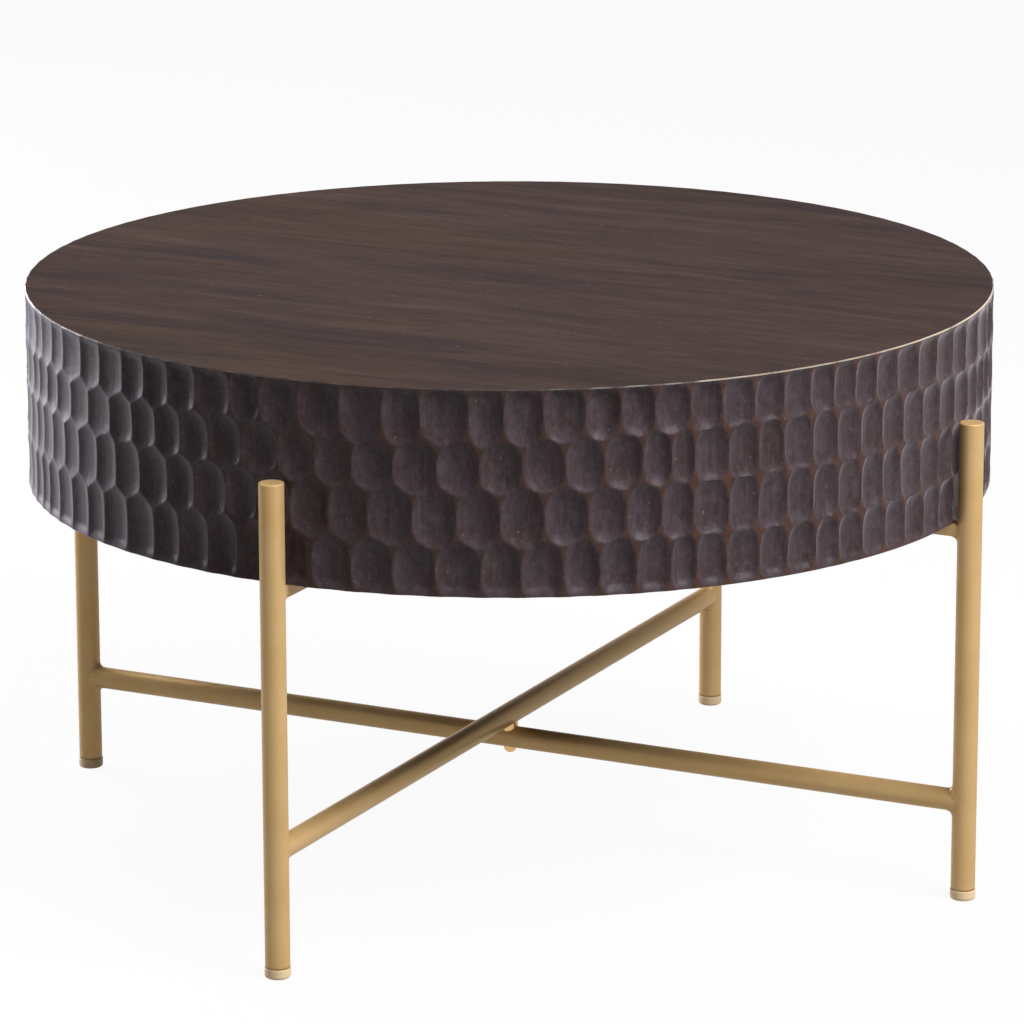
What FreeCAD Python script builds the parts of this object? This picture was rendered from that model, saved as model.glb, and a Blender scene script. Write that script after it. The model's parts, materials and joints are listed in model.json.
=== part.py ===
import FreeCAD, Part
import math
import os

from FreeCAD import Vector

# All sizes are in millimetres and degrees. +Z is up and the floor is at zero.
# The lower stretcher lies along X and the upper stretcher along Y.

# Whole table
table_height = 457.0

# Drum: a round board top glued on a carved ring
drum_diameter = 762.0
drum_depth = 156.0
top_thickness = 14.0
board_count = 7
ring_thickness = 28.0
segment_count = 8
segment_turn = 17.0

# Gouged scallops in the drum's side
scallop_rows = 4
scallops_per_row = 80
scallop_depth = 3.2
gouge_across_radius = 36.0
gouge_along_radius = 80.0
gouge_half_width = 21.0
gouge_half_length = 25.0

# Battens under the top
batten_offset = 190.0
batten_width = 45.0
batten_thickness = 18.0
batten_end_clearance = 2.0
batten_edge_round = 3.0
batten_screw_bite = 9.0
batten_screw_end_margin = 20.0

# Corner blocks glued inside the ring
block_width = 60.0
block_reach = 55.0
block_height = 45.0
block_chamfer = 6.0

# Legs with their caps and foot glides
leg_diameter = 19.0
leg_wall = 1.5
leg_top_height = 381.0
leg_drum_gap = 1.5
cap_thickness = 2.0
cap_bevel = 0.7
glide_height = 8.0
glide_lip = 0.5
glide_foot_round = 2.5
glide_top_round = 0.5
glide_stem_length = 16.0
glide_stem_clearance = 0.1

# Support arms under the drum
arm_size = 10.0
arm_length = 78.0
arm_end_chamfer = 1.5

# Stretchers
stretcher_diameter = 17.5
stretcher_wall = 1.5
lower_stretcher_height = 79.0
stretcher_gap = 1.9

# Crossing: collar, bolt and rivet nut
collar_diameter = 13.0
bolt_diameter = 6.0
bolt_hole_clearance = 0.3
bolt_head_diameter = 10.0
bolt_head_height = 4.6
bolt_head_rim = 1.0
bolt_reach = 3.0
nut_diameter = 9.0
nut_bulge_diameter = 12.0
nut_bulge_height = 3.5
nut_rise = 2.0

# Weld beads
stretcher_weld_size = 5.5
arm_weld_size = 5.0

# Wood screws
screw_diameter = 4.0
screw_head_diameter = 8.0
screw_head_height = 2.4
screw_slot_width = 1.0
screw_slot_depth = 1.2
screw_hole_clearance = 0.25
arm_screw_length = 32.0
arm_screw_edge_margin = 12.0
arm_screw_ring_margin = 15.0

# How far a cutting body runs past what it cuts
overrun = 5.0

# How near an edge has to lie to a joint line to be taken as part of it
same_place = 0.001

# Worked out from the sizes above
up = Vector(0, 0, 1)
drum_radius = drum_diameter / 2
drum_bottom = table_height - drum_depth
ring_top = table_height - top_thickness
ring_inner_radius = drum_radius - ring_thickness
row_pitch = drum_depth / scallop_rows
scallop_step = 360.0 / scallops_per_row
segment_angle = 360.0 / segment_count
board_width = drum_diameter / board_count
leg_radius = leg_diameter / 2
leg_inner_radius = leg_radius - leg_wall
leg_circle_radius = drum_radius + leg_drum_gap + leg_radius
stretcher_radius = stretcher_diameter / 2
upper_stretcher_height = lower_stretcher_height + stretcher_diameter + stretcher_gap
arm_outer_end = leg_circle_radius - leg_radius
arm_inner_end = arm_outer_end - arm_length
bolt_radius = bolt_diameter / 2
screw_radius = screw_diameter / 2
batten_inner_limit = ring_inner_radius - batten_end_clearance
batten_corner = batten_offset + batten_width / 2
batten_length = 2 * math.sqrt(batten_inner_limit**2 - batten_corner**2)

LEG_ANGLES = {"right": 0.0, "back": 90.0, "left": 180.0, "front": 270.0}

# The height at which a stretcher meets each leg
STRETCHER_HEIGHTS = {
    "right": lower_stretcher_height,
    "back": upper_stretcher_height,
    "left": lower_stretcher_height,
    "front": upper_stretcher_height,
}


def turned(shape, angle):
    """A copy of the shape, turned about the table's upright axis."""
    copy = shape.copy()
    copy.rotate(Vector(), up, angle)
    return copy


def upright_cylinder(radius, bottom, top, x=0.0, y=0.0):
    """A solid cylinder between two heights."""
    return Part.makeCylinder(radius, top - bottom, Vector(x, y, bottom))


def centred_box(x_low, x_high, width, bottom, top):
    """A block from x_low to x_high that is centred on y."""
    corner = Vector(x_low, -width / 2, bottom)
    return Part.makeBox(x_high - x_low, width, top - bottom, corner)


def gouge_cutter():
    """The slice of wood that one gouge stroke removes, at angle zero and height zero."""
    floor = drum_radius - scallop_depth
    rise = gouge_across_radius - math.sqrt(gouge_across_radius**2 - gouge_half_width**2)
    low_corner = Vector(floor + rise, -gouge_half_width, 0)
    high_corner = Vector(floor + rise, gouge_half_width, 0)
    arc = Part.Arc(low_corner, Vector(floor, 0, 0), high_corner)
    chord = Part.LineSegment(high_corner, low_corner)
    section = Part.Face(Part.Wire([arc.toShape(), chord.toShape()]))
    pivot = Vector(floor + gouge_along_radius, 0, 0)
    swing = math.degrees(math.asin(gouge_half_length / gouge_along_radius))
    across = Vector(0, 1, 0)
    section.rotate(pivot, across, -swing)
    return section.revolve(pivot, across, 2 * swing)


def scallop(row, place):
    """The cutter of one scallop; every second row is shifted by half a step."""
    shift = (row % 2) / 2
    cutter = turned(gouge_cutter(), (place + shift) * scallop_step)
    cutter.translate(up * (drum_bottom + (row + 1 / 2) * row_pitch))
    return cutter


def carved(blank, rows, places, turn=0.0):
    """The blank after its scallops are cut, in passes whose strokes lie apart.

    A stroke can cut a chip free, so the largest piece is the one that stays.
    """
    for row_parity in range(2):
        for place_parity in range(2):
            strokes = [turned(scallop(row, place), turn) for row in rows for place in places
                       if row % 2 == row_parity and place % 2 == place_parity]
            if strokes:
                blank = max(blank.cut(strokes).Solids, key=lambda piece: piece.Volume)
    return blank


def wood_screw(seat, direction, length):
    """A slotted screw with a round head that sits on the seat and points along direction."""
    head_radius = screw_head_diameter / 2
    ball_radius = (head_radius**2 + screw_head_height**2) / (2 * screw_head_height)
    ball = Part.makeSphere(ball_radius, up * (ball_radius - screw_head_height))
    head = ball.common(upright_cylinder(head_radius, -screw_head_height, 0))
    slot = centred_box(-head_radius, head_radius, screw_slot_width, -screw_head_height,
                       screw_slot_depth - screw_head_height)
    tip = Part.makeCone(screw_radius, 0, screw_diameter, up * (length - screw_diameter))
    shank = upright_cylinder(screw_radius, 0, length - screw_diameter).fuse(tip)
    screw = head.cut(slot).fuse(shank).removeSplitter()
    screw.Placement = FreeCAD.Placement(seat, FreeCAD.Rotation(up, direction))
    return screw


def screw_hole(seat, direction, length):
    """The clearance hole for a screw, from its seat through a piece of the given length."""
    hole_radius = screw_radius + screw_hole_clearance
    return Part.makeCylinder(hole_radius, length, seat, direction)


def board_lines():
    """The low and high edge of each top board."""
    for number in range(board_count):
        low = number * board_width - drum_radius
        yield low, low + board_width


def batten_screw_places():
    """One screw at the middle of each board that the batten crosses fully."""
    limit = batten_length / 2 - batten_screw_end_margin
    for side in (-1, 1):
        for low, high in board_lines():
            middle = (low + high) / 2
            if abs(middle) < limit:
                yield Vector(side * batten_offset, middle, ring_top - batten_thickness)


def arm_screw_places():
    """Two screws in each arm, both up into the corner block."""
    outer = ring_inner_radius - arm_screw_ring_margin
    inner = arm_inner_end + arm_screw_edge_margin
    for angle in LEG_ANGLES.values():
        turn = FreeCAD.Rotation(up, angle)
        for reach in (inner, outer):
            yield turn.multVec(Vector(reach, 0, drum_bottom - arm_size))


def batten_screws():
    length = batten_thickness + batten_screw_bite
    return [wood_screw(place, up, length) for place in batten_screw_places()]


def arm_screws():
    return [wood_screw(place, up, arm_screw_length) for place in arm_screw_places()]


def top_boards(screws):
    """The round top with the top row of scallops in its edge, ripped into boards."""
    disc = upright_cylinder(drum_radius, ring_top, table_height)
    disc = carved(disc, [scallop_rows - 1], range(scallops_per_row), segment_turn)
    boards = []
    for low, high in board_lines():
        corner = Vector(-drum_radius - overrun, low, ring_top - overrun)
        strip = Part.makeBox(drum_diameter + 2 * overrun, high - low, top_thickness + 2 * overrun, corner)
        boards.append(disc.common(strip).cut(screws))
    return boards


def rim_segment():
    """One carved piece of the ring, from angle zero to the segment's angle."""
    height = ring_top - drum_bottom
    base = Vector(0, 0, drum_bottom)
    outer = Part.makeCylinder(drum_radius, height, base, up, segment_angle)
    inner = upright_cylinder(ring_inner_radius, drum_bottom - overrun, ring_top + overrun)
    blank = outer.cut(inner)
    steps = round(segment_angle / scallop_step)
    return carved(blank, range(scallop_rows), range(-1, steps + 1))


def rim_segments():
    """The ring's segments; each is a turned copy of one."""
    carved = rim_segment()
    return [turned(carved, segment_turn + number * segment_angle) for number in range(segment_count)]


def top_batten(side):
    """A batten that crosses the boards and keeps them flat."""
    near = side * batten_offset - batten_width / 2
    bottom = ring_top - batten_thickness
    batten = centred_box(near, near + batten_width, batten_length, bottom, ring_top)
    low_edges = [edge for edge in batten.Edges if edge.BoundBox.ZMax < bottom + same_place]
    batten = batten.makeFillet(batten_edge_round, low_edges)
    holes = [screw_hole(place, up, batten_thickness) for place in batten_screw_places()]
    return batten.cut(holes)


def corner_block(angle, screws):
    """A block glued to the ring's inner face above a support arm."""
    top = drum_bottom + block_height
    near = ring_inner_radius - block_reach
    block = centred_box(near, ring_inner_radius + overrun, block_width, drum_bottom, top)
    near_edges = [edge for edge in block.Edges if edge.BoundBox.XMax < near + same_place]
    block = block.makeChamfer(block_chamfer, near_edges)
    block = block.common(upright_cylinder(ring_inner_radius, drum_bottom, top))
    return turned(block, angle).cut(screws)


def leg_rod(bottom, top):
    """The leg's outer form at angle zero."""
    return upright_cylinder(leg_radius, bottom, top, leg_circle_radius)


def leg(angle):
    """A round tube from the glide to the cap."""
    top = leg_top_height - cap_thickness
    bore = upright_cylinder(leg_inner_radius, glide_height, top, leg_circle_radius)
    return turned(leg_rod(glide_height, top).cut(bore), angle)


def leg_cap(angle):
    """The bevelled plate that closes the leg's top."""
    plate = leg_rod(leg_top_height - cap_thickness, leg_top_height)
    rim = [edge for edge in plate.Edges if edge.BoundBox.ZMin > leg_top_height - same_place]
    return turned(plate.makeChamfer(cap_bevel, rim), angle)


def foot_glide(angle):
    """The plastic foot with a stem that is pushed into the leg."""
    foot = upright_cylinder(leg_radius + glide_lip, 0, glide_height, leg_circle_radius)
    low_rim = [edge for edge in foot.Edges if edge.BoundBox.ZMax < same_place]
    foot = foot.makeFillet(glide_foot_round, low_rim)
    high_rim = [edge for edge in foot.Edges if edge.BoundBox.ZMin > glide_height - same_place]
    foot = foot.makeFillet(glide_top_round, high_rim)
    stem_radius = leg_inner_radius - glide_stem_clearance
    stem = upright_cylinder(stem_radius, glide_height / 2, glide_height + glide_stem_length, leg_circle_radius)
    return turned(foot.fuse(stem).removeSplitter(), angle)


def arm_bar():
    """The support arm's square bar at angle zero, before it is drilled and coped."""
    bottom = drum_bottom - arm_size
    bar = centred_box(arm_inner_end, leg_circle_radius, arm_size, bottom, drum_bottom)
    end_edges = [edge for edge in bar.Edges if edge.BoundBox.XMax < arm_inner_end + same_place]
    return bar.makeChamfer(arm_end_chamfer, end_edges)


def support_arm(angle):
    """A short arm under the drum's edge, coped to its leg and drilled for two screws."""
    bar = arm_bar().cut(leg_rod(glide_height, leg_top_height))
    holes = [screw_hole(place, up, arm_size) for place in arm_screw_places()]
    return turned(bar, angle).cut(holes)


def stretcher_rod(radius, height):
    """A round bar along X between the centres of two legs."""
    start = Vector(-leg_circle_radius, 0, height)
    return Part.makeCylinder(radius, 2 * leg_circle_radius, start, Vector(1, 0, 0))


def stretcher_tube(height):
    """A stretcher along X, coped to the legs at both ends."""
    bore = stretcher_rod(stretcher_radius - stretcher_wall, height)
    tube = stretcher_rod(stretcher_radius, height).cut(bore)
    post = leg_rod(glide_height, leg_top_height)
    return tube.cut([post, turned(post, 180)])


def lower_stretcher():
    """The lower tube with a hole for the bolt through both walls."""
    hole_radius = bolt_radius + bolt_hole_clearance
    low = lower_stretcher_height - stretcher_radius - overrun
    high = lower_stretcher_height + stretcher_radius + overrun
    return stretcher_tube(lower_stretcher_height).cut(upright_cylinder(hole_radius, low, high))


def upper_stretcher():
    """The upper tube with a hole for the rivet nut in its lower wall."""
    low = upper_stretcher_height - stretcher_radius - overrun
    hole = upright_cylinder(nut_diameter / 2, low, upper_stretcher_height)
    return turned(stretcher_tube(upper_stretcher_height), 90).cut(hole)


def centre_collar():
    """The spacer between the stretchers, coped to both of them."""
    ring = upright_cylinder(collar_diameter / 2, lower_stretcher_height, upper_stretcher_height)
    bore_radius = bolt_radius + bolt_hole_clearance
    bore = upright_cylinder(bore_radius, lower_stretcher_height, upper_stretcher_height)
    below = stretcher_rod(stretcher_radius, lower_stretcher_height)
    above = turned(stretcher_rod(stretcher_radius, upper_stretcher_height), 90)
    return ring.cut([bore, below, above])


def centre_bolt():
    """The bolt under the crossing, with a domed head that is shaped to the lower tube."""
    tube_bottom = lower_stretcher_height - stretcher_radius
    head_radius = bolt_head_diameter / 2
    dome_height = bolt_head_height - bolt_head_rim
    ball_radius = (head_radius**2 + dome_height**2) / (2 * dome_height)
    rim_height = tube_bottom - bolt_head_rim
    ball = Part.makeSphere(ball_radius, up * (rim_height - dome_height + ball_radius))
    dome = ball.common(upright_cylinder(head_radius, rim_height - dome_height, rim_height))
    rim = upright_cylinder(head_radius, rim_height, lower_stretcher_height)
    head = dome.fuse(rim).cut(stretcher_rod(stretcher_radius, lower_stretcher_height))
    shank = upright_cylinder(bolt_radius, tube_bottom, upper_stretcher_height + bolt_reach)
    return head.fuse(shank).removeSplitter()


def rivet_nut():
    """The nut clinched in the upper tube's lower wall."""
    tube_bottom = upper_stretcher_height - stretcher_radius
    bulge_bottom = tube_bottom + stretcher_wall
    whole = turned(stretcher_rod(stretcher_radius, upper_stretcher_height), 90)
    inside = turned(stretcher_rod(stretcher_radius - stretcher_wall, upper_stretcher_height), 90)
    sleeve = upright_cylinder(nut_diameter / 2, tube_bottom, upper_stretcher_height + nut_rise)
    bulge = upright_cylinder(nut_bulge_diameter / 2, bulge_bottom, bulge_bottom + nut_bulge_height)
    nut = sleeve.common(whole).fuse(bulge.common(inside))
    bore = upright_cylinder(bolt_radius, tube_bottom - overrun, upper_stretcher_height + overrun)
    return nut.cut(bore).removeSplitter()


def weld_bead(post, bar, size):
    """The fillet of metal in the corner between a post and a bar that meets it."""
    joint_line = Part.Shell(post.Faces).section(Part.Shell(bar.Faces))
    joined = post.fuse(bar)
    corner = []
    for edge in joined.Edges:
        middle = edge.valueAt((edge.FirstParameter + edge.LastParameter) / 2)
        if Part.Vertex(middle).distToShape(joint_line)[0] < same_place:
            corner.append(edge)
    return joined.makeFillet(size, corner).cut([post, bar])


def stretcher_weld(angle, height):
    """The bead where a stretcher meets its leg."""
    reach = stretcher_radius + 2 * stretcher_weld_size
    post = leg_rod(height - reach, height + reach)
    start = Vector(leg_circle_radius - 2 * leg_diameter, 0, height)
    bar = Part.makeCylinder(stretcher_radius, 2 * leg_diameter, start, Vector(1, 0, 0))
    return turned(weld_bead(post, bar, stretcher_weld_size), angle)


def arm_weld(angle):
    """The bead under and beside a support arm; above the arm the drum leaves no room."""
    middle = drum_bottom - arm_size / 2
    reach = arm_size / 2 + 2 * arm_weld_size
    post = leg_rod(middle - reach, middle + reach)
    bar = centred_box(leg_circle_radius - 2 * leg_diameter, leg_circle_radius, arm_size,
                      drum_bottom - arm_size, drum_bottom)
    under_drum = upright_cylinder(drum_diameter, drum_bottom - drum_depth, drum_bottom)
    return turned(weld_bead(post, bar, arm_weld_size).common(under_drum), angle)


def numbered(name, shapes):
    """Node names for pieces that are counted, such as board_1."""
    return {f"{name}_{number}": shape for number, shape in enumerate(shapes, start=1)}


def all_nodes():
    """Every piece of the table under its node's name."""
    under_top = batten_screws()
    under_arms = arm_screws()
    nodes = numbered("top_board", top_boards(under_top))
    nodes.update(numbered("rim_segment", rim_segments()))
    nodes["top_batten_left"] = top_batten(-1)
    nodes["top_batten_right"] = top_batten(1)
    nodes["batten_screws"] = Part.makeCompound(under_top)
    nodes["arm_screws"] = Part.makeCompound(under_arms)
    for side, angle in LEG_ANGLES.items():
        nodes["corner_block_" + side] = corner_block(angle, under_arms)
        nodes["leg_" + side] = leg(angle)
        nodes["leg_cap_" + side] = leg_cap(angle)
        nodes["foot_glide_" + side] = foot_glide(angle)
        nodes["support_arm_" + side] = support_arm(angle)
        nodes["arm_weld_" + side] = arm_weld(angle)
        nodes["stretcher_weld_" + side] = stretcher_weld(angle, STRETCHER_HEIGHTS[side])
    nodes["lower_stretcher"] = lower_stretcher()
    nodes["upper_stretcher"] = upper_stretcher()
    nodes["centre_collar"] = centre_collar()
    nodes["centre_bolt"] = centre_bolt()
    nodes["rivet_nut"] = rivet_nut()
    return nodes


def main():
    os.makedirs("parts", exist_ok=True)
    for name, shape in all_nodes().items():
        shape.exportStep(f"parts/{name}.step")


main()
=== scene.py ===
import json
import math

import bmesh
import bpy
import numpy as np
from mathutils import Matrix, Vector, noise


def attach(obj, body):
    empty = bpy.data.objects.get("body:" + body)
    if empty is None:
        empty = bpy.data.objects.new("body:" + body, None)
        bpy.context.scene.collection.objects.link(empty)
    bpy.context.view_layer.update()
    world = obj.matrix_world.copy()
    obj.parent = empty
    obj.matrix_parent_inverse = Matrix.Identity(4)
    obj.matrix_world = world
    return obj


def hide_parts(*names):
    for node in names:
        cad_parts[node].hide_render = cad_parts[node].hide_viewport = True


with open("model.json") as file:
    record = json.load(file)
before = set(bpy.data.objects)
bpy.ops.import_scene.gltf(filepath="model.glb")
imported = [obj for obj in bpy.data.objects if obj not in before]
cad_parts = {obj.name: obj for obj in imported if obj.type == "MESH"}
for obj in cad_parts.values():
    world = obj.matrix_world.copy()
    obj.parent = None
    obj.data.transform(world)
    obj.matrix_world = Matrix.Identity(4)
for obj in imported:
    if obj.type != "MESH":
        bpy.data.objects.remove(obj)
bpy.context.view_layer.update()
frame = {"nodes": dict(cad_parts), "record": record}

# Sizes are in millimetres and degrees up to the point where a mesh is made, which is in metres.
METRE = 0.001

# The drum
drum_radius = 381.0
drum_bottom = 301.0
ring_top = 443.0
table_height = 457.0
ring_inner_radius = 353.0
board_count = 7
segment_count = 8
segment_turn = 17.0
segment_angle = 360.0 / segment_count
board_width = 2 * drum_radius / board_count

# How finely the carving is sampled
columns_per_segment = 250
segment_rows = 118
board_rows = 11
column_step = segment_angle / columns_per_segment

# Small edges and joints
arris = 0.9
bottom_arris = 0.5
joint_depth = 0.15
glue_line_depth = 0.04
inner_ring_radius = 350.0
inner_top_radius = 368.0

# The carving loses depth near the drum's edges, and its ridges are worn a little below the drum's radius
top_fade = 7.0
bottom_fade = 8.0
top_depth_share = 0.14
bottom_depth_share = 0.35
ridge_wear = 0.8
wear_falloff = 0.22

# Where the first row starts and the last one ends, below the top, for six-sided and for square scoops
first_line = (-7.0, -1.0)
last_line = (158.0, 155.0)

# How far hand work strays from the rule
first_line_scatter = 2.0
end_scatter = 1.0
depth_scatter = (0.85, 1.05)
lean_scatter = (0.03, 0.06)
spacing_scatter = (0.86, 1.14)

# Powers that give a scoop its outline, for six-sided and for square scoops
low_end_powers = (2.8, 3.8)
high_end_powers = (2.4, 3.1)
side_powers = (2.4, 2.8)

# Degrees between made-up ridges, and from a scoop's middle to where it surely ends
usual_spacing = 4.25
scoop_limit = 4.5

neutral_tone = 0.5

# Angles of the ridges between the scoops of each row, top row first, along the front and right of the drum
RIDGES = (
    (-137.2, -134.0, -130.2, -126.7, -121.9, -117.7, -113.2, -109.4, -105.4, -101.3, -96.4, -92.4,
     -87.6, -82.7, -77.8, -73.6, -68.2, -64.3, -60.0, -55.4, -51.4, -47.5, -43.4, -39.6, -35.6,
     -31.7, -28.1, -24.7, -21.4, -17.9, -14.2, -10.0, -5.9, -1.7, 2.5, 7.2, 12.1),
    (-138.9, -135.7, -132.2, -128.7, -124.7, -120.3, -115.7, -111.5, -107.6, -103.6, -99.5, -94.9,
     -90.2, -85.7, -81.3, -76.6, -71.7, -67.0, -62.3, -57.6, -53.3, -48.9, -45.6, -42.9, -38.8,
     -35.0, -31.7, -27.7, -24.1, -20.4, -16.8, -12.9, -8.9, -4.9, -1.0, 3.3, 6.9, 10.4, 14.0),
    (-137.2, -134.1, -130.5, -126.7, -122.8, -118.6, -114.7, -110.3, -105.7, -101.6, -97.1, -93.0,
     -88.7, -84.1, -79.5, -74.5, -69.6, -64.8, -59.9, -55.1, -50.8, -46.7, -43.0, -38.7, -35.0,
     -31.2, -27.6, -23.9, -20.2, -16.6, -13.3, -9.3, -5.2, -1.6, 1.9),
    (-138.5, -135.2, -132.2, -128.7, -124.8, -120.8, -117.2, -112.7, -108.0, -104.0, -99.6, -95.6,
     -91.0, -86.1, -81.5, -76.7, -71.9, -66.9, -62.5, -57.8, -53.8, -49.6, -45.6, -42.6, -39.0,
     -34.8, -31.1, -27.1, -23.7, -19.9, -16.0, -12.3, -8.4, -4.7, -0.9),
)

# Depth below the top of the lines between the four rows, at some angles round the drum
LINE_ANGLES = (-135, -120, -110, -95, -80, -65, -50, -38, -20, 0, 40, 90, 150, 200)
ROW_LINES = (
    (35, 37, 37, 36, 41, 41, 37, 36.5, 37, 39.5, 38, 36, 40, 37),
    (69, 70, 71, 72, 76, 76.5, 75, 76, 77, 78.5, 77, 74, 77, 72),
    (111, 112, 111, 112, 117, 117, 115, 117, 117.5, 119, 118, 115, 117, 113),
)

# How square the scoops are at some angles: 0 is six-sided with thin ridges, 1 is square with flat ridges
STYLE_ANGLES = (-140, -62, -50, -42, 15, 60, 100, 150, 190, 212)
STYLES = (0.0, 0.0, 0.3, 0.9, 1.0, 0.5, 0.1, 0.6, 0.2, 0.0)

# At some angles: a scoop's width as a share of the space between its ridges, how far it runs past its
# row's lines, and its depth
FORM_ANGLES = (-140, -118, -108, -98, -62, -50, -42, 15, 100, 150, 205, 215)
WIDTH_SHARES = (1.10, 1.10, 1.06, 1.0, 0.97, 0.94, 0.96, 1.0, 1.04, 0.97, 1.06, 1.10)
REACHES = (5.0, 5.0, 4.5, 2.8, 2.6, 2.0, 1.2, 0.8, 3.0, 1.5, 4.5, 5.0)
DEPTHS = (2.4, 2.6, 4.2, 5.2, 6.0, 5.8, 5.0, 4.0, 5.4, 4.6, 4.6, 2.4)

carving_seed = 11
rng = np.random.default_rng(carving_seed)


def around(angle, angles, values):
    """A value given at some angles, read at any angle round the drum."""
    return np.interp(angle, angles, values, period=360.0)


def mix(low, high, share):
    """The value that lies a share of the way from low to high."""
    return low + (high - low) * share


def ridges_all_round(measured):
    """The measured ridges, and made-up ones of like spacing on the rest of the circle."""
    left = measured[0] + 360 - measured[-1]
    count = round(left / usual_spacing)
    steps = rng.uniform(*spacing_scatter, count)
    steps *= left / steps.sum()
    return np.concatenate([measured, measured[-1] + np.cumsum(steps)])


def scoops():
    """Every gouged scoop: its place, half sizes, depth, lean and how square it is."""
    for row, measured in enumerate(RIDGES):
        ridges = ridges_all_round(measured)
        for low, high in zip(ridges[:-1], ridges[1:]):
            angle = (low + high) / 2
            style = around(angle, STYLE_ANGLES, STYLES)
            edges = [mix(*first_line, style) + rng.uniform(-first_line_scatter, first_line_scatter)]
            edges += [around(angle, LINE_ANGLES, line) for line in ROW_LINES]
            edges.append(mix(*last_line, style))
            reach = around(angle, FORM_ANGLES, REACHES)
            top = edges[row] - (reach if row else 0) + rng.uniform(-end_scatter, end_scatter)
            bottom = edges[row + 1] + reach + rng.uniform(-end_scatter, end_scatter)
            space = math.radians(high - low) * drum_radius
            yield {
                "angle": angle,
                "height": table_height - (top + bottom) / 2,
                "half_width": space / 2 * around(angle, FORM_ANGLES, WIDTH_SHARES),
                "half_height": (bottom - top) / 2,
                "depth": around(angle, FORM_ANGLES, DEPTHS) * rng.uniform(*depth_scatter),
                "lean": rng.uniform(-1, 1) * mix(*lean_scatter, style),
                "style": style,
                "tone": rng.uniform(0, 1),
            }


def turn_between(angles, centre):
    """Signed angle from the centre, by the short way."""
    return (angles - centre + 180) % 360 - 180


def edge_fade(heights):
    """How much of a scoop's depth is left near the drum's top and bottom edges."""
    rises = [np.clip(from_edge, 0, 1) for from_edge in (
        (table_height - heights) / top_fade, (heights - drum_bottom) / bottom_fade)]
    top, bottom = (rise * rise * (3 - 2 * rise) for rise in rises)
    return mix(top_depth_share, 1, top) * mix(bottom_depth_share, 1, bottom)


def carving(angles, heights):
    """Cut depth at each height and angle, and the tone of the scoop that made it."""
    depth = np.zeros((len(heights), len(angles)))
    tone = np.full_like(depth, neutral_tone)
    for scoop in ALL_SCOOPS:
        turn = turn_between(angles, scoop["angle"])
        near = np.nonzero(np.abs(turn) < scoop_limit)[0]
        up = (heights - scoop["height"])[:, None]
        across = np.radians(turn[near])[None, :] * drum_radius + up * scoop["lean"]
        style = scoop["style"]
        end_power = np.where(up < 0, mix(*low_end_powers, style), mix(*high_end_powers, style))
        fall = np.abs(across / scoop["half_width"]) ** mix(*side_powers, style)
        fall = fall + np.abs(up / scoop["half_height"]) ** end_power
        cut = scoop["depth"] * (1 - fall)
        old = depth[:, near]
        tone[:, near] = np.where(cut > old, scoop["tone"], tone[:, near])
        depth[:, near] = np.maximum(cut, old)
    return ridge_wear + depth * edge_fade(heights)[:, None], tone


ALL_SCOOPS = list(scoops())
angles = segment_turn + np.arange(segment_count * columns_per_segment) * column_step
styles = around(angles, STYLE_ANGLES, STYLES)
cosines, sines = np.cos(np.radians(angles)), np.sin(np.radians(angles))


def mesh_object(name, points, faces, values):
    """A mesh in the table's own frame, with a value at each point under each given name."""
    mesh = bpy.data.meshes.new(name)
    mesh.from_pydata([tuple(p) for p in np.asarray(points) * METRE], [], faces)
    for label, numbers in values.items():
        layer = mesh.attributes.new(label, "FLOAT", "POINT")
        layer.data.foreach_set("value", np.asarray(numbers, dtype=np.float32))
    built = bpy.data.objects.new(name, mesh)
    bpy.context.scene.collection.objects.link(built)
    return built


def grid_faces(rows, columns, start=0):
    """Quads between the points of a grid that is stored row by row."""
    return [(start + r * columns + c, start + r * columns + c + 1,
             start + (r + 1) * columns + c + 1, start + (r + 1) * columns + c)
            for r in range(rows - 1) for c in range(columns - 1)]


def smooth(built, keep_flat_over=40):
    """Smooth shading that keeps edges over the given angle crisp."""
    built.data.shade_smooth()
    built.data.set_sharp_from_angle(angle=math.radians(keep_flat_over))
    return built


def wear(depth):
    """1 on the ridges between scoops, falling to 0 inside them."""
    return np.exp(-(depth - ridge_wear) / wear_falloff)


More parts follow.
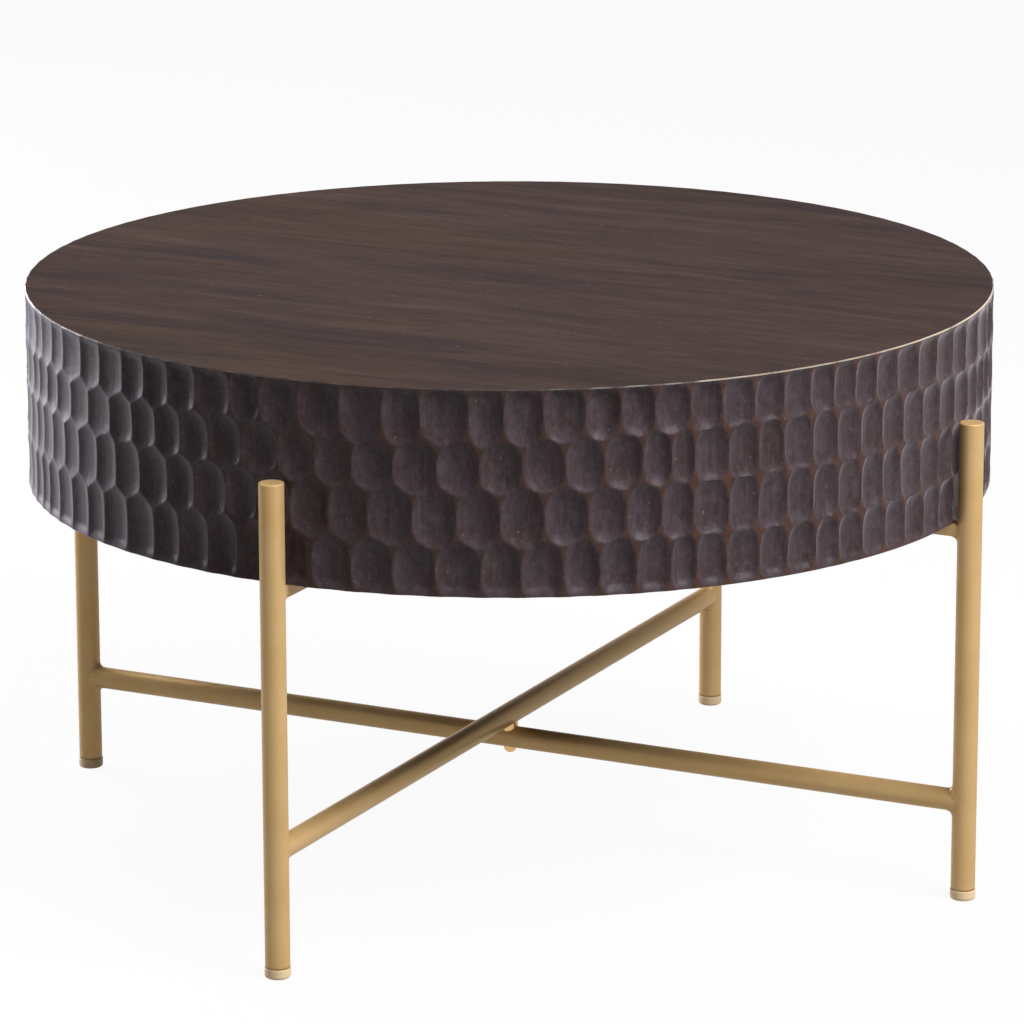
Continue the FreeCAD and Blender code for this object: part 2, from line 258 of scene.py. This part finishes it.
def carved_segment(number):
    """One glued piece of the ring, with its share of the scoops."""
    first = number * columns_per_segment
    picked = np.arange(first, first + columns_per_segment + 1) % len(angles)
    count = len(picked)
    heights = np.linspace(drum_bottom + bottom_arris, ring_top, segment_rows)
    depth, tone = carving(angles[picked], heights)
    joint = np.zeros_like(depth)
    joint[:, [0, -1]] = 1
    radius = drum_radius - depth - joint * glue_line_depth
    rings = [radius[0] - bottom_arris] + list(radius)
    levels = [drum_bottom] + list(heights)
    inner_levels = [drum_bottom, (drum_bottom + ring_top) / 2, ring_top]
    points, worn, tones, square, joints = [], [], [], [], []
    for k, (ring, level) in enumerate(zip(rings, levels)):
        points += list(zip(ring * cosines[picked], ring * sines[picked], np.full(count, level)))
        row = max(k - 1, 0)
        worn += list(wear(depth[row]))
        tones += list(tone[row])
        joints += list(joint[row])
        square += list(styles[picked])
    for level in inner_levels:
        points += list(zip(ring_inner_radius * cosines[picked], ring_inner_radius * sines[picked],
                           np.full(count, level)))
        for values, value in ((worn, 0.0), (tones, neutral_tone), (square, 0.0), (joints, 0.0)):
            values += [value] * count
    outer_rows = len(rings)
    faces = grid_faces(outer_rows, count)
    base = outer_rows * count
    faces += [tuple(reversed(face)) for face in grid_faces(len(inner_levels), count, base)]
    top_outer, top_inner = (outer_rows - 1) * count, base + 2 * count
    for c in range(count - 1):
        faces.append((c + 1, c, base + c, base + c + 1))
        faces.append((top_outer + c, top_outer + c + 1, top_inner + c + 1, top_inner + c))
    low_end = [r * count for r in range(outer_rows)] + [base + 2 * count, base + count, base]
    high_end = [index + count - 1 for index in reversed(low_end)]
    faces += [tuple(low_end), tuple(high_end)]
    piece = mesh_object(f"carved_segment_{number + 1}", points, faces,
                        {"worn": worn, "tone": tones, "square": square, "joint": joints})
    return smooth(piece)


def round_top():
    """The whole round top as one mesh, before it is cut into boards."""
    count = len(angles)
    heights = np.linspace(ring_top, table_height - arris, board_rows)
    depth, tone = carving(angles, heights)
    top_depth, top_tone = carving(angles, np.array([float(table_height)]))
    groove = np.zeros(board_rows)
    groove[0] = joint_depth
    side = drum_radius - depth - groove[:, None]
    rings = [(np.full(count, inner_ring_radius), ring_top, 0.0, neutral_tone, 0)]
    rings += [(side[r], heights[r], wear(depth[r]), tone[r], r == 0) for r in range(board_rows)]
    rings.append((drum_radius - top_depth[0] - arris, table_height, wear(top_depth[0]), top_tone[0], 0))
    rings.append((np.full(count, inner_top_radius), table_height, 0.0, neutral_tone, 0))
    points, worn, tones, joints = [], [], [], []
    for radius, level, worn_here, tone_here, joint_here in rings:
        points += list(zip(radius * cosines, radius * sines, np.full(count, level)))
        worn += list(np.full(count, worn_here) if np.isscalar(worn_here) else worn_here)
        tones += list(np.full(count, tone_here) if np.isscalar(tone_here) else tone_here)
        joints += [float(joint_here)] * count
    faces = []
    for r in range(len(rings) - 1):
        for c in range(count):
            n = (c + 1) % count
            faces.append((r * count + c, r * count + n, (r + 1) * count + n, (r + 1) * count + c))
    last = (len(rings) - 1) * count
    faces.append(tuple(range(last, last + count)))
    faces.append(tuple(range(count - 1, -1, -1)))
    square = np.tile(styles, len(rings))
    return mesh_object("round_top", points, faces, {
        "worn": worn, "tone": tones, "square": square, "joint": joints})


def top_board(whole, number):
    """The strip of the round top between two board lines, closed along its cuts."""
    least_cut = 1.0
    low = number * board_width - drum_radius
    form = bmesh.new()
    form.from_mesh(whole.data)
    for line, side in ((low, 1), (low + board_width, -1)):
        if abs(line) > drum_radius - least_cut:
            continue
        everything = form.verts[:] + form.edges[:] + form.faces[:]
        cut = bmesh.ops.bisect_plane(form, geom=everything, plane_co=(0, line * METRE, 0),
                                     plane_no=(0, side, 0), clear_inner=True)
        rim = [item for item in cut["geom_cut"] if isinstance(item, bmesh.types.BMEdge)]
        bmesh.ops.contextual_create(form, geom=rim)
    mesh = bpy.data.meshes.new(f"board_{number + 1}")
    form.to_mesh(mesh)
    form.free()
    board = bpy.data.objects.new(mesh.name, mesh)
    bpy.context.scene.collection.objects.link(board)
    return smooth(board)


def lumpy_weld(node, lump, seed):
    """A weld bead with the uneven surface of hand welding, in the place of an even one."""
    longest_edge, wide_lumps, small_lumps, small_share, crease = 0.9, 3.2, 1.3, 0.4, 80
    form = bmesh.new()
    form.from_mesh(frame["nodes"][node].data)
    bmesh.ops.remove_doubles(form, verts=form.verts, dist=1e-6)
    for _ in range(3):
        long_edges = [edge for edge in form.edges if edge.calc_length() > longest_edge * METRE]
        if not long_edges:
            break
        bmesh.ops.subdivide_edges(form, edges=long_edges, cuts=1)
        bmesh.ops.triangulate(form, faces=[face for face in form.faces if len(face.verts) > 4])
    form.normal_update()
    for vert in form.verts:
        swell = noise.noise(vert.co / (wide_lumps * METRE) + Vector((seed, 0, 0)))
        swell += small_share * noise.noise(vert.co / (small_lumps * METRE) + Vector((0, seed, 0)))
        vert.co += vert.normal * swell * lump * METRE
    mesh = bpy.data.meshes.new("bead_" + node)
    form.to_mesh(mesh)
    form.free()
    bead = bpy.data.objects.new(mesh.name, mesh)
    bpy.context.scene.collection.objects.link(bead)
    return smooth(bead, crease)


# Materials


class Shader:
    """A material's nodes, added and joined by short calls."""

    # Where the colour sockets of a mix node are
    mix_share, mix_first, mix_second, mix_result = 0, 6, 7, 2

    def __init__(self, name):
        self.material = bpy.data.materials.new(name)
        self.material.use_nodes = True
        self.tree = self.material.node_tree
        self.tree.nodes.clear()
        self.place = self.add("ShaderNodeTexCoord").outputs["Object"]

    def add(self, kind, inputs=(), **settings):
        """A node with its settings, and with each named input set or joined."""
        node = self.tree.nodes.new(kind)
        for key, value in settings.items():
            setattr(node, key, value)
        for key, value in dict(inputs).items():
            if isinstance(value, bpy.types.NodeSocket):
                self.tree.links.new(value, node.inputs[key])
            else:
                node.inputs[key].default_value = value
        return node

    def stretched(self, x, y, z):
        """The place, scaled along each axis by a number of cells per metre."""
        scale = self.add("ShaderNodeVectorMath", {0: self.place, 1: (x, y, z)}, operation="MULTIPLY")
        return scale.outputs["Vector"]

    def noise(self, place, detail=3.0, roughness=0.5, distortion=0.0, seed=0.0):
        """Cloudy noise, which another seed makes anew."""
        node = self.add("ShaderNodeTexNoise", {
            "Vector": place, "W": seed, "Scale": 1.0, "Detail": detail, "Roughness": roughness,
            "Distortion": distortion}, noise_dimensions="4D")
        return node.outputs["Fac"]

    def span(self, value, low, high, to_low=0.0, to_high=1.0):
        """The value, carried from one range to another and held inside it."""
        node = self.add("ShaderNodeMapRange", {
            "Value": value, "From Min": low, "From Max": high, "To Min": to_low, "To Max": to_high})
        return node.outputs["Result"]

    def math(self, operation, first, second=0.0):
        return self.add("ShaderNodeMath", {0: first, 1: second}, operation=operation).outputs[0]

    def blend(self, share, first, second):
        """The first colour, carried towards the second by the share."""
        ends = [srgb(end) if isinstance(end, tuple) else end for end in (first, second)]
        node = self.add("ShaderNodeMix", {
            self.mix_share: share, self.mix_first: ends[0], self.mix_second: ends[1]}, data_type="RGBA")
        return node.outputs[self.mix_result]

    def layers(self, colour, rows):
        """The colour under layers: a pattern, where it starts and is full, its most, and its colour."""
        for pattern, start, full, most, tint in rows:
            colour = self.blend(self.span(pattern, start, full, 0, most), colour, tint)
        return colour

    def value(self, name):
        """A value that was stored at the mesh's points."""
        return self.add("ShaderNodeAttribute", attribute_name=name).outputs["Fac"]

    def bump(self, height, distance):
        """The surface's normal over bumps that are that many millimetres high."""
        inputs = {"Height": height, "Distance": distance * METRE, "Strength": 1.0}
        return self.add("ShaderNodeBump", inputs).outputs["Normal"]

    def finish(self, inputs):
        surface = self.add("ShaderNodeBsdfPrincipled", inputs)
        output = self.add("ShaderNodeOutputMaterial")
        self.tree.links.new(surface.outputs["BSDF"], output.inputs["Surface"])
        return self.material


def srgb(colour):
    """A colour of 0 to 255 as the eye reads it, as the linear values that a shader takes."""
    linear = []
    for channel in colour:
        share = channel / 255
        linear.append(share / 12.92 if share <= 0.04045 else ((share + 0.055) / 1.055) ** 2.4)
    return (*linear, 1.0)


def stained_top():
    """Dark stained boards with the grain along X, each board from another part of the tree."""
    s = Shader("stained_top")
    board_seed, tint_seed = 3.7, 11
    parts = s.add("ShaderNodeSeparateXYZ", {"Vector": s.place})
    board = s.math("FLOOR", s.math("DIVIDE", s.math("ADD", parts.outputs["Y"], drum_radius * METRE),
                                   board_width * METRE))
    seed = s.math("MULTIPLY", board, board_seed)
    patches = s.noise(s.stretched(3, 13, 13), 4, 0.55, 0.5, seed)
    tints = s.noise(s.stretched(2.2, 8, 8), 3, 0.5, 0.5, s.math("ADD", seed, tint_seed))
    streaks = s.noise(s.stretched(5, 46, 46), 7, 0.66, 0.9, seed)
    fibres = s.noise(s.stretched(26, 520, 520), 4, 0.65, 0.4, seed)
    pores = s.noise(s.stretched(90, 900, 900), 3, 0.6, 0.0, seed)
    specks = s.noise(s.stretched(200, 700, 700), 2, 0.5, 0.0, seed)
    colour = s.blend(s.span(patches, 0.34, 0.66), (62, 49, 46), (76, 61, 57))
    colour = s.layers(colour, (
        (tints, 0.52, 0.7, 0.5, (78, 62, 48)),
        (tints, 0.46, 0.3, 0.5, (74, 56, 54)),
        (streaks, 0.5, 0.68, 0.75, (50, 44, 48)),
        (streaks, 0.46, 0.32, 0.45, (92, 76, 70)),
        (fibres, 0.42, 0.66, 0.4, (48, 40, 40)),
        (fibres, 0.42, 0.28, 0.3, (98, 82, 77)),
        (pores, 0.6, 0.74, 0.5, (44, 36, 36)),
        (specks, 0.66, 0.74, 0.5, (122, 107, 100)),
    ))
    height = s.math("ADD", s.math("MULTIPLY", fibres, 0.6), s.math("MULTIPLY", streaks, 0.8))
    return s.finish({
        "Base Color": colour,
        "Roughness": s.span(streaks, 0.3, 0.7, 0.5, 0.6),
        "Specular IOR Level": 0.0,
        "Coat Weight": 0.06,
        "Coat Roughness": 0.4,
        "Normal": s.bump(height, 0.06),
    })


def arris_polish_and_painted_highlight():
    """The top's sharp edge, rubbed to a polish, with a painted highlight of pale colour along one side."""
    s = Shader("arris_polish_and_painted_highlight")
    highlight_breaks = s.noise(s.stretched(34, 34, 34), 4, 0.6, 0.3)
    uneven = s.noise(s.stretched(120, 120, 120), 5, 0.7, 0.3)
    colour = s.blend(s.span(uneven, 0.35, 0.65), (58, 46, 43), (84, 70, 65))
    # Painted highlight: a pale colour along the part of the edge over the square scoops, broken up by
    # noise.
    painted_highlight = s.math("MULTIPLY", s.span(s.value("square"), 0.85, 1.0), s.span(highlight_breaks, 0.36, 0.5, 0.25, 1))
    colour = s.blend(painted_highlight, colour, (222, 204, 182))
    return s.finish({
        "Base Color": colour,
        "Roughness": s.span(uneven, 0.3, 0.7, 0.18, 0.32),
        "Specular IOR Level": 0.3,
        "Normal": s.bump(uneven, 0.1),
    })


def carved_side():
    """Near-black stained wood, rubbed to brown on the ridges between the scoops."""
    s = Shader("carved_side")
    worn, tone, square, joint = (s.value(name) for name in ("worn", "tone", "square", "joint"))
    patches = s.noise(s.stretched(16, 16, 12), 4, 0.6, 0.3)
    clouds = s.noise(s.stretched(60, 60, 46), 4, 0.6, 0.6)
    strokes = s.noise(s.stretched(330, 330, 26), 4, 0.6, 0.4)
    mottling = s.noise(s.stretched(190, 190, 130), 5, 0.7, 0.3)
    flecks = s.noise(s.stretched(700, 700, 300), 2, 0.5)
    colour = s.blend(s.span(patches, 0.36, 0.64), (66, 53, 54), (78, 64, 68))
    colour = s.layers(colour, (
        (tone, 0, 1, 0.5, (78, 67, 75)),
        (clouds, 0.52, 0.66, 0.5, (68, 50, 43)),
        (clouds, 0.47, 0.34, 0.35, (92, 82, 86)),
        (mottling, 0.5, 0.62, 0.4, (48, 37, 38)),
        (mottling, 0.47, 0.35, 0.3, (106, 94, 98)),
        (strokes, 0.52, 0.68, 0.4, (92, 82, 84)),
        (strokes, 0.46, 0.32, 0.3, (44, 36, 36)),
    ))
    rubbed = s.blend(square, (74, 57, 52), (86, 61, 54))
    rubbed = s.blend(s.span(mottling, 0.48, 0.66, 0, 0.7), rubbed, (52, 38, 35))
    land = s.math("MULTIPLY", s.span(worn, 0.25, 0.8), s.span(patches, 0.3, 0.5, 0.55, 1))
    colour = s.blend(land, colour, rubbed)
    flecked = s.math("MULTIPLY", s.span(flecks, 0.66, 0.76), s.span(clouds, 0.45, 0.6))
    colour = s.blend(s.math("MULTIPLY", flecked, 0.9), colour, (150, 140, 136))
    seam = s.math("MULTIPLY", joint, s.span(patches, 0.52, 0.6, 0, 0.25))
    colour = s.blend(seam, colour, (118, 106, 102))
    height = s.math("ADD", s.math("MULTIPLY", strokes, 0.6), mottling)
    return s.finish({
        "Base Color": colour,
        "Roughness": s.span(mottling, 0.3, 0.7, 0.5, 0.6),
        "Specular IOR Level": 0.0,
        "Coat Weight": 1.0,
        "Coat IOR": 1.2,
        "Coat Roughness": 0.32,
        "Sheen Weight": 0.5,
        "Sheen Roughness": 0.35,
        "Sheen Tint": (0.9, 0.85, 0.97, 1.0),
        "Coat Normal": s.bump(height, 0.25),
        "Normal": s.bump(height, 0.5),
    })


def gold_lacquer(name, metallic, roughness):
    """Metallic lacquer over steel, with the faint orange peel of sprayed paint, and painted shade at the
    foot of the tubes.
    """
    painted_shade_full, painted_shade_end = 8.5, 10.0
    s = Shader(name)
    peel = s.noise(s.stretched(420, 420, 420), 3, 0.5)
    flake = s.noise(s.stretched(2600, 2600, 2600), 1, 0.5)
    haze = s.noise(s.stretched(26, 26, 26), 4, 0.55)
    up = s.add("ShaderNodeSeparateXYZ", {"Vector": s.place}).outputs["Z"]
    colour = s.blend(s.span(haze, 0.35, 0.65), (216, 177, 119), (223, 186, 130))
    colour = s.blend(s.span(flake, 0.55, 0.75, 0, 0.3), colour, (219, 188, 139))
    # Painted shade: a dark band at the foot of each tube, just above the glide, standing in for the
    # contact shadow there.
    painted_shade = s.span(up, painted_shade_full * METRE, painted_shade_end * METRE, 0.75, 0)
    colour = s.blend(painted_shade, colour, (112, 84, 52))
    return s.finish({
        "Base Color": colour,
        "Metallic": metallic,
        "Specular IOR Level": 0.15,
        "Specular Tint": (0.7, 0.7, 0.7, 1.0),
        "Roughness": s.span(haze, 0.3, 0.7, roughness, roughness + 0.06),
        "Normal": s.bump(peel, 0.02),
    })


def raw_wood():
    """Planed pale hardwood that was left unfinished, with the grain along X."""
    s = Shader("raw_wood")
    rings = s.noise(s.stretched(5, 60, 60), 5, 0.6, 0.6)
    fibres = s.noise(s.stretched(40, 900, 900), 3, 0.6)
    colour = s.blend(s.span(rings, 0.35, 0.65), (168, 130, 88), (134, 98, 64))
    colour = s.blend(s.span(fibres, 0.45, 0.7, 0, 0.4), colour, (112, 80, 52))
    return s.finish({
        "Base Color": colour,
        "Roughness": s.span(fibres, 0.3, 0.7, 0.6, 0.75),
        "Specular IOR Level": 0.3,
        "Normal": s.bump(fibres, 0.1),
    })


def zinc():
    """Bright zinc plate with a cloudy bloom."""
    s = Shader("zinc")
    bloom = s.noise(s.stretched(260, 260, 260), 4, 0.6, 0.4)
    colour = s.blend(s.span(bloom, 0.35, 0.65), (158, 156, 148), (184, 182, 176))
    return s.finish({
        "Base Color": colour,
        "Metallic": 1.0,
        "Roughness": s.span(bloom, 0.3, 0.7, 0.28, 0.45),
        "Normal": s.bump(bloom, 0.01),
    })


def cream_plastic():
    """Moulded plastic with a faint grain and scuffs near the floor."""
    s = Shader("cream_plastic")
    grain = s.noise(s.stretched(900, 900, 900), 3, 0.6)
    scuff = s.noise(s.stretched(240, 240, 500), 4, 0.6, 0.5)
    colour = s.blend(s.span(grain, 0.35, 0.65), (255, 222, 174), (255, 228, 184))
    colour = s.blend(s.span(scuff, 0.56, 0.72, 0, 0.4), colour, (214, 180, 140))
    return s.finish({
        "Base Color": colour,
        "Roughness": s.span(grain, 0.3, 0.7, 0.45, 0.58),
        "Coat Weight": 0.2,
        "Coat Roughness": 0.4,
        "Normal": s.bump(grain, 0.03),
    })


def dress(built, material):
    """Gives the object that material alone."""
    built.data.materials.clear()
    built.data.materials.append(material)


def dress_board(board, top, side, sharp_edge):
    """The board's carved edge takes the side's material, its arris another, and the rest the top's."""
    edge_zone, level_normal, many_corners = 8.0, 0.9, 6
    side_slot, arris_slot = 1, 2
    board.data.materials.clear()
    for material in (top, side, sharp_edge):
        board.data.materials.append(material)
    for face in board.data.polygons:
        middle = face.center / METRE
        outside = math.hypot(middle.x, middle.y) > drum_radius - edge_zone
        if outside and abs(face.normal.z) < level_normal and len(face.vertices) < many_corners:
            face.material_index = arris_slot if middle.z > table_height - arris else side_slot


def build():
    """Every visible piece, with its material."""
    arm_lumps, stretcher_lumps = 0.28, 0.35
    top, side, sharp_edge = stained_top(), carved_side(), arris_polish_and_painted_highlight()
    gold = gold_lacquer("gold_lacquer", 0.22, 0.38)
    bright_gold = gold_lacquer("bright_gold", 0.9, 0.2)
    wood, steel, cream = raw_wood(), zinc(), cream_plastic()
    for number in range(segment_count):
        piece = carved_segment(number)
        dress(piece, side)
        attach(piece, "root")
        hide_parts(f"rim_segment_{number + 1}")
    whole = round_top()
    for number in range(board_count):
        board = top_board(whole, number)
        dress_board(board, top, side, sharp_edge)
        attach(board, "root")
        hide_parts(f"top_board_{number + 1}")
    bpy.data.objects.remove(whole)
    slots = {"raw_wood": wood, "gold_lacquer": gold, "screw_steel": steel, "cream_plastic": cream}
    for part in frame["record"]["subparts"]:
        node = part["node"]
        if part["material_slot"] in slots:
            dress(frame["nodes"][node], slots[part["material_slot"]])
        if "_weld_" in node:
            lumps = arm_lumps if node.startswith("arm") else stretcher_lumps
            bead = lumpy_weld(node, lumps, float(len(node)))
            dress(bead, gold)
            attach(bead, "root")
            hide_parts(node)
    for node in ("centre_bolt", "centre_collar"):
        dress(frame["nodes"][node], bright_gold)


# Light, floor and camera

world_light = 0.02
lamp_target_height = 0.33
WHITE, LILAC = (1, 1, 1), (0.93, 0.89, 1.0)

# Name, angle and elevation in degrees, distance, width and height in metres, power in watts, colour
LAMPS = (
    ("key", -14, 44, 3.4, 2.0, 2.0, 136, WHITE),
    ("left_panel", 165, 3, 3.4, 3.0, 1.2, 96, LILAC),
    ("left_high", 162, 27, 2.6, 0.8, 0.4, 12, WHITE),
    ("left_top", 170, 62, 1.6, 0.8, 0.8, 14, WHITE),
)


def seen_directly(tree):
    """1 for rays from the eye, a reflection or clear material, else 0."""
    path = tree.nodes.new("ShaderNodeLightPath")
    total = None
    for name in ("Is Camera Ray", "Is Glossy Ray", "Is Transmission Ray"):
        if total is None:
            total = path.outputs[name]
            continue
        larger = tree.nodes.new("ShaderNodeMath")
        larger.operation = "MAXIMUM"
        tree.links.new(total, larger.inputs[0])
        tree.links.new(path.outputs[name], larger.inputs[1])
        total = larger.outputs[0]
    return total


def pale_floor():
    """A pale plain floor that keeps a faint shadow."""
    squares, half_size = 24, 30
    shade_for_light, shade_seen, glow_share = 0.35, 0.9, 0.94
    form = bmesh.new()
    bmesh.ops.create_grid(form, x_segments=squares, y_segments=squares, size=half_size)
    mesh = bpy.data.meshes.new("floor")
    form.to_mesh(mesh)
    form.free()
    floor = bpy.data.objects.new("floor", mesh)
    bpy.context.scene.collection.objects.link(floor)
    material = bpy.data.materials.new("floor")
    material.use_nodes = True
    tree = material.node_tree
    tree.nodes.clear()
    paint = tree.nodes.new("ShaderNodeBsdfDiffuse")
    glow = tree.nodes.new("ShaderNodeEmission")
    glow.inputs["Strength"].default_value = 1.0
    share = tree.nodes.new("ShaderNodeMath")
    share.operation = "MULTIPLY"
    share.inputs[1].default_value = glow_share
    seen = seen_directly(tree)
    tree.links.new(seen, share.inputs[0])
    shade = tree.nodes.new("ShaderNodeMapRange")
    shade.inputs["To Min"].default_value = shade_for_light
    shade.inputs["To Max"].default_value = shade_seen
    tree.links.new(seen, shade.inputs["Value"])
    tree.links.new(shade.outputs["Result"], paint.inputs["Color"])
    both = tree.nodes.new("ShaderNodeMixShader")
    tree.links.new(share.outputs[0], both.inputs[0])
    tree.links.new(paint.outputs[0], both.inputs[1])
    tree.links.new(glow.outputs[0], both.inputs[2])
    output = tree.nodes.new("ShaderNodeOutputMaterial")
    tree.links.new(both.outputs[0], output.inputs["Surface"])
    dress(floor, material)


def pale_world(level):
    """White where it is seen, and a plain soft light of the given level elsewhere."""
    world = bpy.data.worlds.new("studio")
    bpy.context.scene.world = world
    world.use_nodes = True
    tree = world.node_tree
    tree.nodes.clear()
    strength = tree.nodes.new("ShaderNodeMapRange")
    strength.inputs["To Min"].default_value = level
    strength.inputs["To Max"].default_value = 1.0
    tree.links.new(seen_directly(tree), strength.inputs["Value"])
    sky = tree.nodes.new("ShaderNodeBackground")
    tree.links.new(strength.outputs["Result"], sky.inputs["Strength"])
    output = tree.nodes.new("ShaderNodeOutputWorld")
    tree.links.new(sky.outputs[0], output.inputs["Surface"])


def soft_lamp(name, angle, elevation, distance, width, height, power, colour):
    """A rectangular soft lamp that faces the drum from an angle round it."""
    target = Vector((0, 0, lamp_target_height))
    a, e = math.radians(angle), math.radians(elevation)
    away = Vector((math.cos(a) * math.cos(e), math.sin(a) * math.cos(e), math.sin(e)))
    data = bpy.data.lights.new(name, "AREA")
    data.shape = "RECTANGLE"
    data.size, data.size_y = width, height
    data.energy = power
    data.color = colour
    lamp = bpy.data.objects.new(name, data)
    facing = away.to_track_quat("Z", "Y").to_matrix().to_4x4()
    lamp.matrix_world = Matrix.Translation(target + away * distance) @ facing
    bpy.context.scene.collection.objects.link(lamp)


def photo_camera():
    """The camera at the photograph's place and angle."""
    distance, eye_height = 4.2305, 1.3852
    focal_pixels, image_pixels, sensor_width, sight = 5500, 1024, 36.0, 200
    polar, pitch = math.radians(-63.688), math.radians(14.827)
    roll, pan = math.radians(-0.124), math.radians(0.025)
    heading = polar + math.pi - pan
    forward = Vector((math.cos(heading) * math.cos(pitch), math.sin(heading) * math.cos(pitch),
                      -math.sin(pitch)))
    right = forward.cross(Vector((0, 0, 1))).normalized()
    right = (right * math.cos(roll) + right.cross(forward) * math.sin(roll)).normalized()
    upward = right.cross(forward)
    data = bpy.data.cameras.new("camera")
    data.sensor_width = sensor_width
    data.lens = focal_pixels * sensor_width / image_pixels
    data.clip_end = sight
    camera = bpy.data.objects.new("camera", data)
    turned = Matrix((right, upward, -forward)).transposed().to_4x4()
    place = Vector((distance * math.cos(polar), distance * math.sin(polar), eye_height))
    camera.matrix_world = Matrix.Translation(place) @ turned
    bpy.context.scene.collection.objects.link(camera)
    bpy.context.scene.camera = camera


build()
pale_floor()
pale_world(world_light)
for lamp in LAMPS:
    soft_lamp(*lamp)
photo_camera()
bpy.context.scene.view_settings.view_transform = "Standard"
